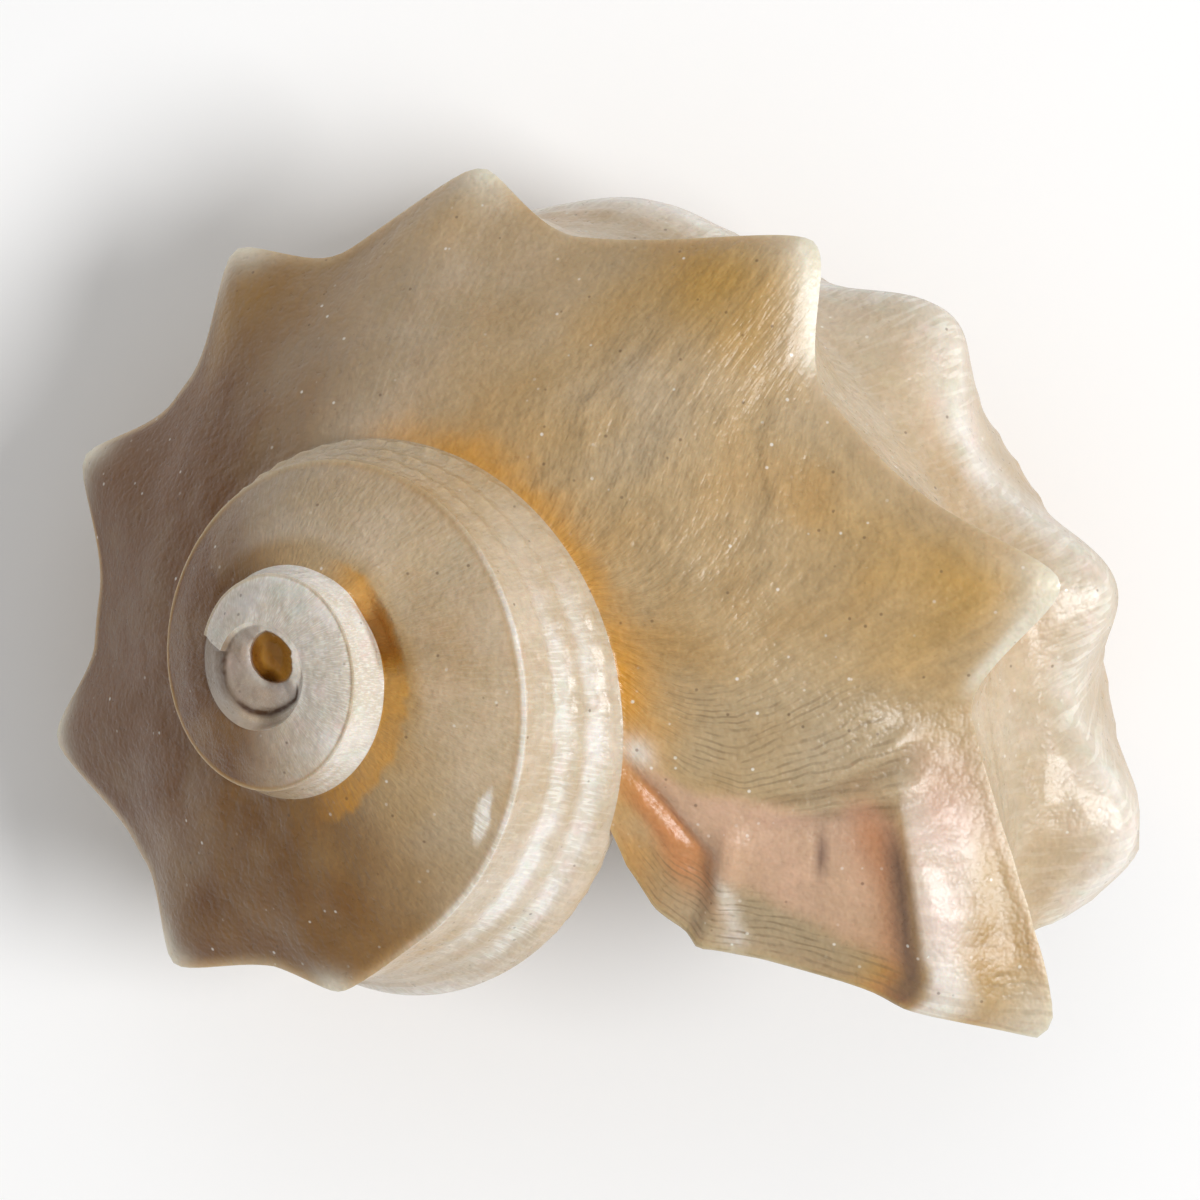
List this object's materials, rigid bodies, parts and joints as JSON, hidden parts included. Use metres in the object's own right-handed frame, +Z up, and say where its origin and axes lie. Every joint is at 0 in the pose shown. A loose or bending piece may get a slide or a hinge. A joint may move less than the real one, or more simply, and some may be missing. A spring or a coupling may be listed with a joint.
{
  "type": "dolphin shell",
  "caption": "Sea snail shell with a low worn spire, a row of flat shoulder spines, a wide umbilicus and a round aperture, lying on its base.",
  "frame": {"origin": "middle of the bounding box in plan, at the height of the surface it rests on", "axes": "+Z up as it rests on its base, +X from the apex towards the body whorl's outer wall, the lip's opening faces -Y"},
  "size_m": [0.0528, 0.0416, 0.0297],
  "materials": {
    "shell": "polished, nacreous"
  },
  "bodies": {
    "root": {"shell": "shell"}
  },
  "joints": []
}
